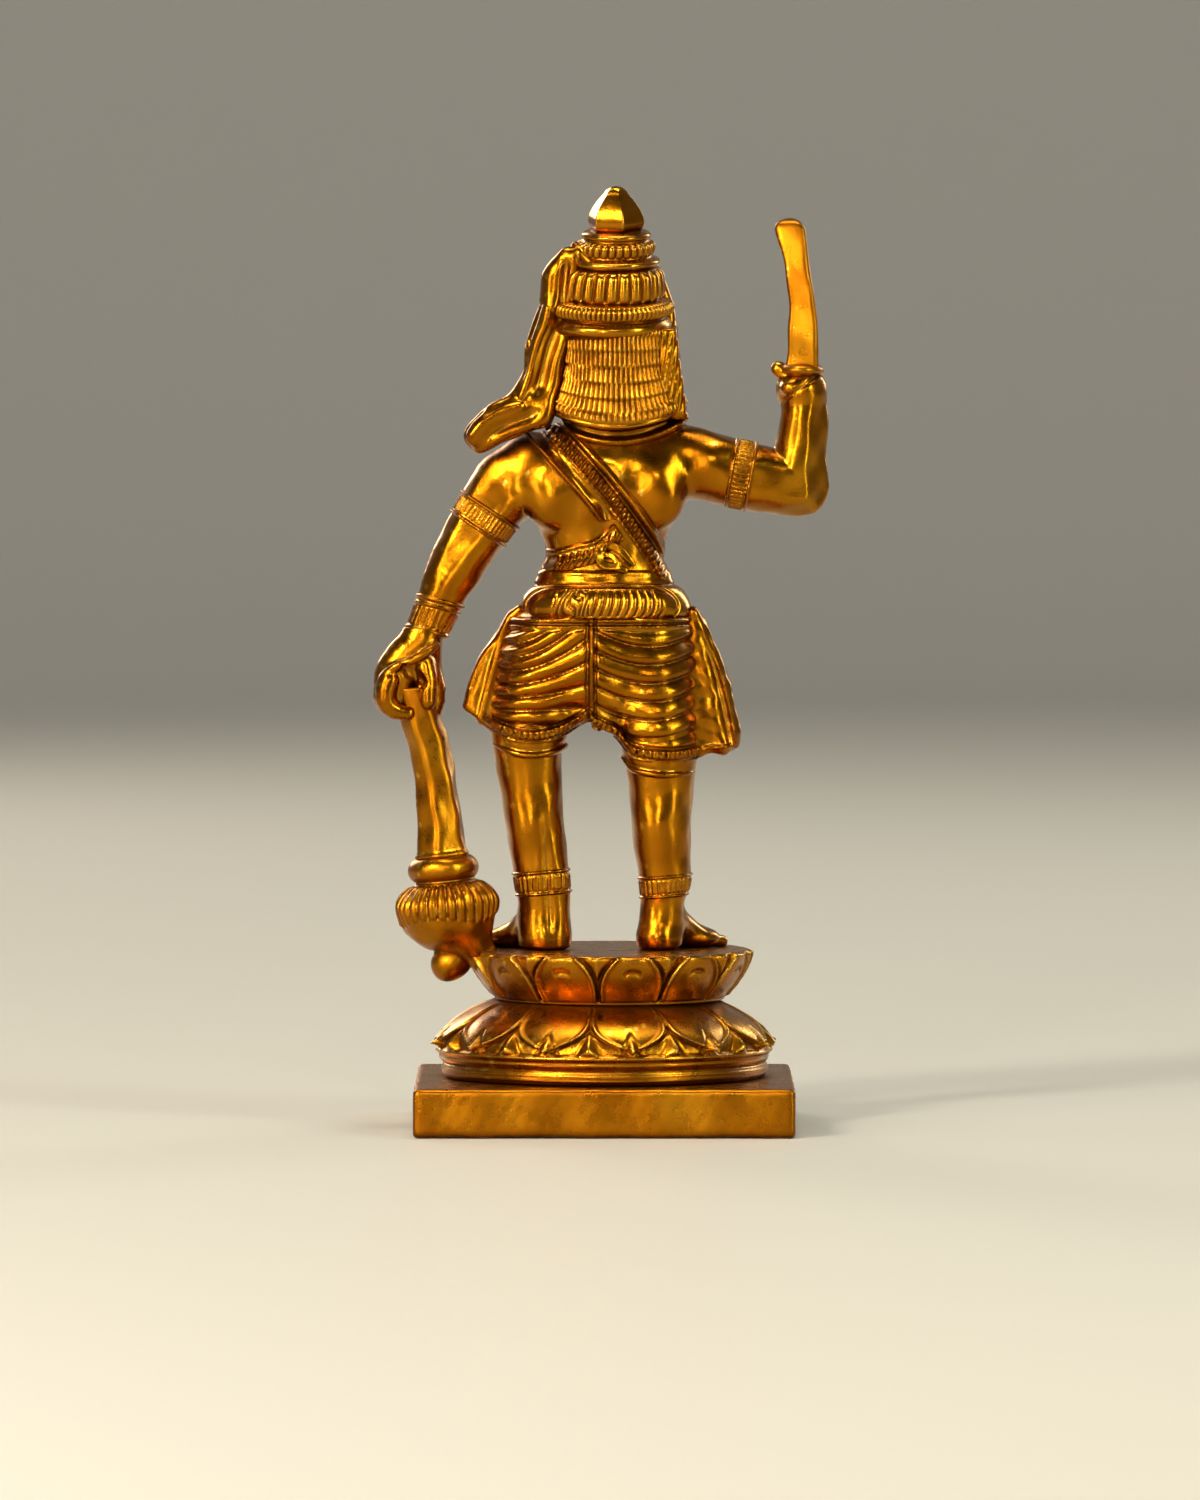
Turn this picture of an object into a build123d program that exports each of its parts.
from build123d import *
import os
from math import cos, radians, sin

# Small cast-brass votive figure on a lotus pedestal. It faces -Y, its right hand is on the -X side.
# All sizes are millimetres. The origin is the centre of the plinth's underside.

# ---- driving dimensions -------------------------------------------------------------------------
HEIGHT = 76.0  # underside of the plinth to the tip of the crown
PLINTH_SIDE = 30.6
PLINTH_TOP = 3.95
PLINTH_ROUND = 0.35
FOOT_RING_TOP = 5.2
LOTUS_WAIST = 10.2
LOTUS_TOP = 14.3
LOTUS_LEAN = -0.45  # the upper lotus stands a little off the plinth's centre
LOTUS_RIM = 11.3  # radius of the upper lotus at its rim
LOTUS_WAIST_RADIUS = 9.1
LOTUS_BULGE_RADIUS = 13.5
STANCE_Y = 0.8  # depth of the leg axes behind the origin
ANKLE = 17.4
HIP = 41.1
BELT_TOP = 43.7
WAIST_CORD_TOP = 44.9
SHOULDER = 55.4
HEAD_X, HEAD_Y = -1.2, -0.3
CROWN_X, CROWN_Y = -0.95, 0.25
CHIN = 56.6
CROWN_BASE = 64.1
CROWN_LEAN = 9  # degrees that the crown leans back
BAND_TOP, BULB_TOP, RING_TOP = 2.4, 5.3, 7.6  # the crown's tiers, measured up its own axis
BAND_STANDS_PROUD = 0.55  # how far straps and bands stand out of the body
MACE_Y = 1.4  # depth of the mace's axis
ARM_Y = 0.6  # depth of the arms' axes
MACE_TOP, MACE_BOTTOM = (14.6, 36.4), (13.15, 22.4)  # (x, z) ends of the mace's shaft
GUARD_BOTTOM, BLADE_FOOT, BLADE_TIP = 60.9, 61.3, 73.4  # heights of the billhook



# ---- helpers ------------------------------------------------------------------------------------
def stack(sections):
    """A solid through horizontal ovals, each (height, centre x, centre y, half width, half depth)."""
    ovals = [Plane(origin=(x, y, z)) * Ellipse(rx, ry) for z, x, y, rx, ry in sections]
    return loft(ovals)


def limb(points, depth_y, flat=1.0):
    """A limb in an X-Z plane, through (x, z, radius) points. flat is depth over width."""
    ovals = []
    for i, (x, z, radius) in enumerate(points):
        before, after = points[max(i - 1, 0)], points[min(i + 1, len(points) - 1)]
        along = (after[0] - before[0], 0, after[1] - before[1])
        plane = Plane(origin=(x, depth_y, z), x_dir=(0, 1, 0), z_dir=along)
        ovals.append(plane * Ellipse(radius * flat, radius))
    return loft(ovals)


def band(x, z, along, radius, half_length, depth_y, proud=BAND_STANDS_PROUD):
    """A short barrel round a limb at (x, z), whose axis points along (dx, dz)."""
    length = (along[0] ** 2 + along[1] ** 2) ** 0.5
    dx, dz = along[0] / length, along[1] / length
    points = [
        (x + dx * t * half_length, z + dz * t * half_length, radius + proud * swell)
        for t, swell in ((-1, 0.4), (-0.5, 1), (0.5, 1), (1, 0.4))
    ]
    return limb(points, depth_y)


def turned(profile, x=0.0, y=0.0):
    """A turned solid on the vertical axis through (x, y), from (radius, height) points."""
    outline = Plane.XZ * Polygon(*profile, align=None)
    return Pos(x, y, 0) * revolve(outline, Axis.Z)


def egg(centre, rx, ry, rz):
    """An ellipsoid with small flat ends."""
    steps = (-0.96, -0.8, -0.45, 0, 0.45, 0.8, 0.96)
    x, y, z = centre
    return stack(
        [(z + rz * t, x, y, rx * (1 - t * t) ** 0.5, ry * (1 - t * t) ** 0.5) for t in steps]
    )


def sheet(outline, y_front, y_back):
    """A flat panel with an (x, z) outline, between two depths."""
    face = Plane.XZ.offset(-y_back) * Polygon(*outline, align=None)
    return extrude(face, y_back - y_front, dir=(0, -1, 0))


def cut_free(solid, neighbours):
    """The largest piece of a solid that is left once its neighbours are cut away."""
    for neighbour in neighbours:
        solid -= neighbour
    return max(solid.solids(), key=lambda piece: piece.volume)


# ---- pedestal -----------------------------------------------------------------------------------
def plinth():
    block = Pos(0, 0, PLINTH_TOP / 2) * Box(PLINTH_SIDE, PLINTH_SIDE, PLINTH_TOP)
    return fillet(block.edges().filter_by(Axis.Z) + block.edges().group_by(Axis.Z)[-1], PLINTH_ROUND)


def lotus_foot_ring():
    inner, outer = LOTUS_BULGE_RADIUS - 0.8, LOTUS_BULGE_RADIUS - 0.3
    return turned(
        [
            (0, PLINTH_TOP),
            (inner, PLINTH_TOP),
            (outer, PLINTH_TOP + 0.35),
            (outer, FOOT_RING_TOP - 0.4),
            (inner, FOOT_RING_TOP),
            (0, FOOT_RING_TOP),
        ]
    )


def lower_lotus():
    return turned(
        [
            (0, FOOT_RING_TOP),
            (LOTUS_BULGE_RADIUS - 0.6, FOOT_RING_TOP),
            (LOTUS_BULGE_RADIUS, FOOT_RING_TOP + 1.2),
            (LOTUS_BULGE_RADIUS - 0.5, FOOT_RING_TOP + 2.5),
            (LOTUS_BULGE_RADIUS - 1.9, LOTUS_WAIST - 1.2),
            (LOTUS_WAIST_RADIUS + 0.4, LOTUS_WAIST - 0.3),
            (LOTUS_WAIST_RADIUS, LOTUS_WAIST),
            (0, LOTUS_WAIST),
        ]
    )


def upper_lotus():
    return turned(
        [
            (0, LOTUS_WAIST),
            (LOTUS_WAIST_RADIUS, LOTUS_WAIST),
            (LOTUS_WAIST_RADIUS + 0.8, LOTUS_WAIST + 0.8),
            (LOTUS_WAIST_RADIUS + 1.6, LOTUS_WAIST + 2.1),
            (LOTUS_RIM - 0.1, LOTUS_TOP - 0.7),
            (LOTUS_RIM, LOTUS_TOP - 0.4),
            (LOTUS_RIM, LOTUS_TOP),
            (0, LOTUS_TOP),
        ],
        x=LOTUS_LEAN,
    )


# ---- legs ---------------------------------------------------------------------------------------
# Each leg runs up from the ankle as (height, centre x, radius).
LEGS = {
    "left": [(ANKLE, 4.9, 1.95), (20.5, 5.1, 2.15), (25.0, 5.8, 2.35), (29.8, 6.25, 2.7)],
    "right": [(ANKLE, -4.6, 1.6), (19.8, -4.95, 2.1), (24.5, -4.7, 2.35), (28.9, -4.65, 2.8)],
}
ANKLET_HEIGHTS = {"left": (18.7, 20.8), "right": (18.5, 20.4)}
HEMS = {"left": (29.8, 31.4, 5.95, 3.25), "right": (28.9, 30.6, -4.4, 3.25)}
FOOT_TURN = {"left": 38, "right": -40}  # degrees outwards from straight ahead


def leg(side):
    return stack([(z, x, STANCE_Y, r, r * 1.04) for z, x, r in LEGS[side]])


def foot(side):
    """Heel under the ankle, and toes turned outwards."""
    ankle_x = LEGS[side][0][1]
    outward = radians(FOOT_TURN[side])
    # height above the lotus, forward shift, half width, half length
    levels = [
        (0, 2.6, 1.75, 4.5), (0.8, 2.5, 1.7, 4.3), (1.6, 1.5, 1.65, 3.0),
        (ANKLE - LOTUS_TOP, 0, 1.6, 1.6),
    ]
    ovals = []
    for up, shift, half_width, half_length in levels:
        x, y = ankle_x + shift * sin(outward), STANCE_Y - shift * cos(outward)
        plane = Plane(origin=(x, y, LOTUS_TOP + up)).rotated((0, 0, FOOT_TURN[side]))
        ovals.append(plane * Ellipse(half_width, half_length))
    return loft(ovals)


def leg_radius_at(side, height):
    """The leg's centre and radius at a height, between its sections."""
    levels = LEGS[side]
    for (z0, x0, r0), (z1, x1, r1) in zip(levels, levels[1:]):
        if z0 <= height <= z1:
            share = (height - z0) / (z1 - z0)
            return x0 + share * (x1 - x0), r0 + share * (r1 - r0)
    raise ValueError(f"no {side} leg at {height}")


def anklet(side, leg_solid):
    low, high = ANKLET_HEIGHTS[side]
    levels = []
    for share, swell in ((0, 0.35), (0.25, 0.5), (0.75, 0.5), (1, 0.35)):
        height = low + share * (high - low)
        x, r = leg_radius_at(side, height)
        levels.append((height, x, STANCE_Y, r + swell, r * 1.04 + swell))
    return stack(levels) - leg_solid


# ---- dress --------------------------------------------------------------------------------------
# Each lobe covers one thigh, from the hem up into the hip block: (height, x, y, half width, half depth).
LOBES = {
    "left": [
        (31.4, 6.0, STANCE_Y, 3.1, 3.4), (34.0, 5.05, STANCE_Y, 3.95, 4.3),
        (37.5, 4.0, 0.7, 4.0, 4.4),
    ],
    "right": [
        (30.6, -4.3, STANCE_Y, 3.1, 3.4), (34.0, -3.3, STANCE_Y, 3.9, 4.3),
        (37.5, -2.9, 0.7, 3.9, 4.4),
    ],
}
HIP_BLOCK = [(34.0, 0.85, STANCE_Y, 5.0, 3.4), (37.5, 0.65, 0.7, 7.8, 4.9), (HIP, 0.3, 0.6, 7.1, 4.9)]
BELT_CORE = [(HIP, 0.15, 0.6, 6.3, 4.2), (BELT_TOP, 0.0, 0.5, 5.6, 3.8)]
BELT = [
    (HIP, 0.25, 0.6, 7.0, 4.8),
    (41.9, 0.15, 0.55, 7.4, 5.1),
    (42.9, 0.05, 0.5, 6.9, 4.9),
    (BELT_TOP, 0.0, 0.5, 6.2, 4.3),
]


def dhoti():
    """Two gathered leg lobes under one hip block, with a core that the belt goes round."""
    crotch = Pos(0.9, 0, 33.0) * Rot(X=90) * Cylinder(1.4, 30)
    hips = stack(HIP_BLOCK) - crotch
    return (stack(LOBES["left"]) + stack(LOBES["right"]) + hips + stack(BELT_CORE)).clean()


def hem_band(side):
    low, high, x, radius = HEMS[side]
    middle = (low + high) / 2
    return stack(
        [
            (low, x, STANCE_Y, radius - 0.35, radius - 0.2),
            (middle, x, STANCE_Y, radius + 0.1, radius + 0.3),
            (high, x, STANCE_Y, radius - 0.2, radius),
        ]
    )


def waist_belt(core):
    return stack(BELT) - core


# The cloth ends are flat panels, with (x, z) outlines and a (front, back) depth.
LEFT_SASH = [
    (7.0, 41.9), (8.4, 40.2), (10.3, 37.2), (11.3, 34.3), (10.9, 33.1), (9.3, 31.7),
    (7.6, 33.2),
]
RIGHT_SASH = [
    (-6.6, 41.6), (-7.7, 41.2), (-9.2, 38.4), (-10.7, 33.1), (-10.8, 30.7), (-7.0, 30.2),
    (-6.4, 35.0),
]
FRONT_SASH = [
    (-1.1, 41.6), (1.7, 41.6), (2.0, 38.0), (2.2, 34.9), (0.3, 33.4), (-1.6, 34.9),
    (-1.4, 38.0),
]
SIDE_SASH_DEPTH = (-0.6, 1.9)
FRONT_SASH_DEPTH = (-5.7, -2.6)


# ---- torso --------------------------------------------------------------------------------------
TORSO = [
    (BELT_TOP, 0.0, 0.5, 5.6, 3.8),
    (46.4, 0.0, 0.5, 4.75, 3.35),
    (49.3, 0.0, 0.5, 5.9, 3.8),
    (52.3, 0.1, 0.5, 7.4, 4.0),
    (54.3, 0.1, 0.45, 7.3, 3.5),
    (SHOULDER, -0.3, 0.4, 5.6, 2.7),
]


def torso(grow=0.0):
    return stack([(z, x, y, rx + grow, ry + grow) for z, x, y, rx, ry in TORSO])


def neck():
    return stack([(SHOULDER, -0.7, 0.3, 2.5, 2.4), (58.4, HEAD_X, 0.1, 2.2, 2.2)])


WAIST_CORD = [
    (BELT_TOP, 0.0, 0.5, 6.05, 4.2),
    ((BELT_TOP + WAIST_CORD_TOP) / 2, 0.0, 0.5, 6.0, 4.2),
    (WAIST_CORD_TOP, 0.0, 0.5, 5.6, 4.0),
]


def strap(body, centre, lean, width):
    """A flat strap round the torso: what a leaning slab cuts from a slightly larger torso."""
    slab = Pos(*centre) * Rot(Y=lean) * Box(40, 40, width)
    return (torso(BAND_STANDS_PROUD) & slab) - body


COLLAR = [(54.0, -0.7, 0.4, 5.6, 4.5), (SHOULDER, -0.8, 0.4, 5.1, 4.2), (56.3, -0.9, 0.4, 4.3, 3.6)]


# ---- arms ---------------------------------------------------------------------------------------
# Points are (x, z, radius) from the shoulder outwards.
LEFT_UPPER_ARM = [
    (6.2, 53.4, 2.6), (8.0, 51.6, 2.75), (9.7, 49.1, 2.5), (11.2, 46.8, 2.35),
    (12.3, 44.9, 2.1),
]
LEFT_FOREARM = [(12.3, 44.9, 2.1), (13.4, 42.7, 1.85), (14.5, 39.6, 1.7)]
RIGHT_UPPER_ARM = [(-5.6, 53.9, 2.7), (-8.4, 53.2, 2.55), (-11.2, 52.6, 2.6), (-14.0, 52.0, 2.5)]
RIGHT_ELBOW = (-15.3, 51.9, 2.5)
RIGHT_FOREARM = [(-15.7, 53.6, 2.25), (-16.0, 56.2, 1.95), (-16.05, 58.4, 1.75)]
LEFT_HAND = (16.3, MACE_Y - 0.1, 36.2)


def left_hand():
    """A closed hand over the top of the mace's shaft."""
    wrist = limb([(14.5, 39.6, 1.7), (14.9, 38.2, 1.6), (15.7, 36.9, 1.6)], (ARM_Y + MACE_Y) / 2)
    return egg(LEFT_HAND, 2.6, 2.3, 3.3) + wrist


def right_hand():
    """A fist round the billhook's grip."""
    return stack(
        [
            (58.4, -16.05, ARM_Y, 1.75, 1.75), (59.6, -15.95, 0.3, 1.85, 2.2),
            (GUARD_BOTTOM, -15.9, 0.3, 1.7, 2.0),
        ]
    )


def right_elbow():
    x, z, radius = RIGHT_ELBOW
    return egg((x, ARM_Y, z), radius, radius, radius)


# ---- what the hands hold ------------------------------------------------------------------------
def along_mace(distance):
    """The (x, z) point on the mace's axis that far below the shaft's lower end."""
    dx, dz = MACE_BOTTOM[0] - MACE_TOP[0], MACE_BOTTOM[1] - MACE_TOP[1]
    length = (dx**2 + dz**2) ** 0.5
    return MACE_BOTTOM[0] + dx / length * distance, MACE_BOTTOM[1] + dz / length * distance


def mace_part(levels):
    """A turned piece on the mace's axis, from (distance below the shaft, radius) pairs."""
    points = [(*along_mace(distance), radius) for distance, radius in levels]
    return limb(points, MACE_Y)


def mace_shaft():
    (x0, z0), (x1, z1) = MACE_TOP, MACE_BOTTOM
    points = [(x0 + share * (x1 - x0), z0 + share * (z1 - z0), r) for share, r in ((0, 1.1), (0.3, 1.6), (1, 2.05))]
    return limb(points, MACE_Y)


def mace_collar():
    return mace_part([(0, 2.2), (0.4, 2.8), (1.2, 3.0), (1.9, 2.8), (2.3, 2.3)])


def mace_head():
    return mace_part([(2.3, 2.4), (3.0, 3.6), (4.3, 4.05), (5.8, 3.8), (7.0, 2.8), (7.6, 1.5)])


def mace_tip():
    return mace_part([(7.6, 1.3), (8.2, 1.75), (9.3, 1.85), (10.2, 1.4), (10.6, 0.7)])


def mace_rest():
    """The lug that ties the mace's head to the rim of the lotus."""
    return limb([(12.0, 15.9, 1.1), (10.9, 14.9, 1.15), (9.9, 13.6, 1.0)], MACE_Y)


def billhook_blade():
    """A billhook held edge forwards: a thick spine behind, and a hooked beak in front."""
    spine = [(1.9, BLADE_FOOT), (2.1, 65.0), (1.7, 69.5), (0.9, BLADE_TIP - 0.3), (0.2, BLADE_TIP)]
    edge = [
        (-1.6, 73.0), (-3.6, 71.6), (-4.6, 69.8), (-3.1, 70.1), (-2.0, 69.0), (-1.9, 66.0),
        (-1.3, BLADE_FOOT),
    ]
    side = extrude(Plane.YZ * Polygon(*spine, *edge, align=None), 30, both=True)
    thick = limb([
        (-16.0, BLADE_FOOT, 1.35), (-16.0, 65.5, 1.2), (-15.5, 70.0, 1.05),
        (-14.7, 73.6, 0.95),
    ], 0, flat=9)
    return side & thick


def billhook_guard():
    return stack([(GUARD_BOTTOM, -15.9, 0.5, 1.75, 2.6), (BLADE_FOOT, -15.9, 0.5, 1.6, 2.4)])


def billhook_grip():
    """The handle that passes through the fist."""
    return limb([(-15.9, GUARD_BOTTOM, 0.95), (-15.9, 58.6, 0.9)], ARM_Y)


# ---- head and crown -----------------------------------------------------------------------------
HAIR = [
    (CHIN, -1.25, 0.9, 5.65, 4.6), (60.0, -1.25, 0.6, 5.2, 4.9),
    (CROWN_BASE + 0.7, -1.0, 0.3, 4.8, 4.6),
]
FACE_OPENING = 3.35  # half the width of the gap in the hair that the face looks out of


def head():
    return egg((HEAD_X, HEAD_Y - 0.5, 60.4), 3.9, 4.2, 4.6)


def hair():
    return stack(HAIR) - Pos(HEAD_X, -6.0, 60.0) * Box(2 * FACE_OPENING, 8, 20)


def crown_tier(profile):
    """A turned tier of the crown, from (radius, distance up the crown's leaning axis) points."""
    return Pos(CROWN_X, CROWN_Y, CROWN_BASE) * Rot(X=-CROWN_LEAN) * turned(profile)


def crown_band():
    return crown_tier([(0, 0), (5.0, 0), (5.05, 1.1), (4.6, BAND_TOP), (0, BAND_TOP)])


def crown_bulb():
    return crown_tier(
        [
            (0, BAND_TOP), (3.9, BAND_TOP), (4.4, 3.0), (4.45, 4.1), (3.9, 4.9),
            (3.1, BULB_TOP), (0, BULB_TOP),
        ]
    )


def crown_ring():
    return crown_tier(
        [
            (0, BULB_TOP), (3.0, BULB_TOP), (2.75, 5.7), (2.95, 6.5), (2.7, 7.2),
            (1.9, RING_TOP), (0, RING_TOP),
        ]
    )


def crown_finial():
    tip_radius = 0.3
    lean = radians(CROWN_LEAN)
    tip = (HEIGHT - CROWN_BASE - tip_radius * sin(lean)) / cos(lean)
    return crown_tier([
        (0, RING_TOP), (1.9, RING_TOP), (2.1, 8.7), (1.3, tip - 0.7), (tip_radius, tip),
        (0, tip),
    ])


def ear_ornament(side):
    """A round ear stud on one cheek; side is 1 for the left ear and -1 for the right."""
    disc = Plane(origin=(HEAD_X + side * 3.9, -1.6, 58.3), x_dir=(0, 1, 0), z_dir=(side, 0, 0)) * Circle(1.05)
    return extrude(disc, 0.9)


def turban_knot():
    """The bulge of wound cloth beside the crown, where the free end starts."""
    return egg((3.0, 1.2, 68.4), 1.7, 1.9, 2.4)


def head_cloth():
    """The turban's free end: it falls from the knot, behind the ear, over the left shoulder."""
    points = [
        (4.0, 67.6, 1.5),
        (4.8, 65.0, 1.6),
        (4.9, 62.6, 1.5),
        (5.6, 59.6, 1.6),
        (8.0, 57.2, 1.9),
        (10.4, 55.6, 1.3),
    ]
    return limb(points, 1.6, flat=0.9)


def side_lappet():
    """The narrow fold of cloth down the right edge of the hair."""
    return limb([(-5.0, 66.0, 0.9), (-5.9, 62.0, 0.9), (-6.5, 57.4, 0.95)], 1.4, flat=1.6)


def back_rosette():
    """The small knot where the two straps part above the waist cord."""
    knot = Plane(origin=(-0.2, 4.9, 45.8), x_dir=(1, 0, 0), z_dir=(0, 1, 0)) * RegularPolygon(1.1, 6)
    return extrude(knot, -2.4)


def chest_pendant():
    """The drop that hangs from the necklace on the chest."""
    drop = Plane(origin=(-0.6, -4.3, 53.0), x_dir=(1, 0, 0), z_dir=(0, -1, 0)) * Ellipse(1.0, 1.3)
    return extrude(drop, -2.6)


# ---- assembly -----------------------------------------------------------------------------------
def pedestal_nodes():
    return {
        "plinth": plinth(),
        "lotus_foot_ring": lotus_foot_ring(),
        "lower_lotus": lower_lotus(),
        "upper_lotus": upper_lotus(),
    }


def leg_nodes():
    nodes = {}
    for side in LEGS:
        nodes[f"{side}_foot"] = foot(side)
        nodes[f"{side}_leg"] = leg(side)
        nodes[f"{side}_anklet"] = anklet(side, nodes[f"{side}_leg"])
        nodes[f"{side}_hem_band"] = hem_band(side)
    return nodes


def dress_nodes(hems):
    garment = dhoti()
    belt = waist_belt(garment)
    under = [garment, belt, *hems]
    return {
        "dhoti": garment,
        "waist_belt": belt,
        "left_sash_end": cut_free(sheet(LEFT_SASH, *SIDE_SASH_DEPTH), under),
        "right_sash_end": cut_free(sheet(RIGHT_SASH, *SIDE_SASH_DEPTH), under),
        "front_sash": cut_free(sheet(FRONT_SASH, *FRONT_SASH_DEPTH), under),
    }


def arm_nodes(body):
    left = cut_free(limb(LEFT_UPPER_ARM, ARM_Y), [body])
    right = cut_free(limb(RIGHT_UPPER_ARM, ARM_Y), [body])
    left_forearm = cut_free(limb(LEFT_FOREARM, ARM_Y), [left])
    right_forearm = cut_free(limb(RIGHT_FOREARM, ARM_Y), [right])
    return {
        "left_upper_arm": left,
        "right_upper_arm": right,
        "left_forearm": left_forearm,
        "right_forearm": right_forearm,
        "right_elbow": cut_free(right_elbow(), [right, right_forearm]),
        "left_armlet": band(9.7, 49.1, (1.5, -2.4), 2.5, 1.1, ARM_Y) - left,
        "right_armlet": band(-11.0, 52.65, (-2.8, -0.6), 2.6, 1.2, ARM_Y) - right,
        "left_bracelet": band(13.9, 41.2, (1.1, -3.1), 1.75, 1.3, ARM_Y, 0.35) - left_forearm,
    }


def held_nodes(lotus, left_forearm, right_forearm):
    nodes = {
        "mace_shaft": mace_shaft(),
        "mace_collar": mace_collar(),
        "mace_head": mace_head(),
        "mace_tip": cut_free(mace_tip(), [lotus]),
        "billhook_blade": billhook_blade(),
        "billhook_guard": billhook_guard(),
        "billhook_grip": billhook_grip(),
    }
    nodes["mace_rest"] = cut_free(mace_rest(), [nodes["mace_head"], nodes["mace_tip"], lotus])
    nodes["left_hand"] = cut_free(left_hand(), [nodes["mace_shaft"], left_forearm])
    nodes["right_hand"] = cut_free(right_hand(), [nodes["billhook_grip"], right_forearm])
    return nodes


def head_nodes(body):
    skull = head()
    throat = neck() - skull
    nodes = {
        "head": skull,
        "neck": throat,
        "crown_band": cut_free(crown_band(), [skull]),
        "crown_bulb": crown_bulb(),
        "crown_ring": crown_ring(),
        "crown_finial": crown_finial(),
    }
    nodes["hair"] = cut_free(hair(), [skull, throat, body, nodes["crown_band"]])
    for side, way in (("left", 1), ("right", -1)):
        nodes[f"{side}_ear_ornament"] = cut_free(ear_ornament(way), [skull, nodes["hair"]])
    return nodes


def trimmings(nodes):
    """The straps and loose cloth that lie on the finished body."""
    body = nodes["torso"]
    arms = [nodes["left_upper_arm"], nodes["right_upper_arm"]]
    cord = cut_free(stack(WAIST_CORD), [body])
    long_strap = cut_free(strap(body, (0.4, 0.5, 50.2), 49, 2.4), arms)
    short_strap = cut_free(strap(body, (0.0, 0.5, 46.9), -24, 1.5), [cord, long_strap])
    head_pieces = [nodes[n] for n in ("head", "neck", "hair", "crown_band", "crown_bulb", "crown_ring")]
    neckwear = cut_free(stack(COLLAR), [body, long_strap, *head_pieces, *arms])
    knot = cut_free(turban_knot(), head_pieces)
    around = [*head_pieces, body, neckwear, *arms]
    return {
        "waist_cord": cord,
        "shoulder_strap": long_strap,
        "cross_strap": short_strap,
        "collar": neckwear,
        "turban_knot": knot,
        "head_cloth": cut_free(head_cloth(), [*around, knot, nodes["left_ear_ornament"]]),
        "side_lappet": cut_free(side_lappet(), [*around, nodes["right_ear_ornament"]]),
        "back_rosette": cut_free(back_rosette(), [body, cord, long_strap, short_strap]),
        "chest_pendant": cut_free(chest_pendant(), [body, long_strap, neckwear]),
    }


def build():
    nodes = {**pedestal_nodes(), **leg_nodes(), "torso": torso()}
    nodes.update(dress_nodes([nodes["left_hem_band"], nodes["right_hem_band"]]))
    nodes.update(arm_nodes(nodes["torso"]))
    nodes.update(held_nodes(nodes["upper_lotus"], nodes["left_forearm"], nodes["right_forearm"]))
    nodes.update(head_nodes(nodes["torso"]))
    nodes.update(trimmings(nodes))
    return nodes


os.makedirs("parts", exist_ok=True)
for name, solid in build().items():
    export_step(solid, f"parts/{name}.step")
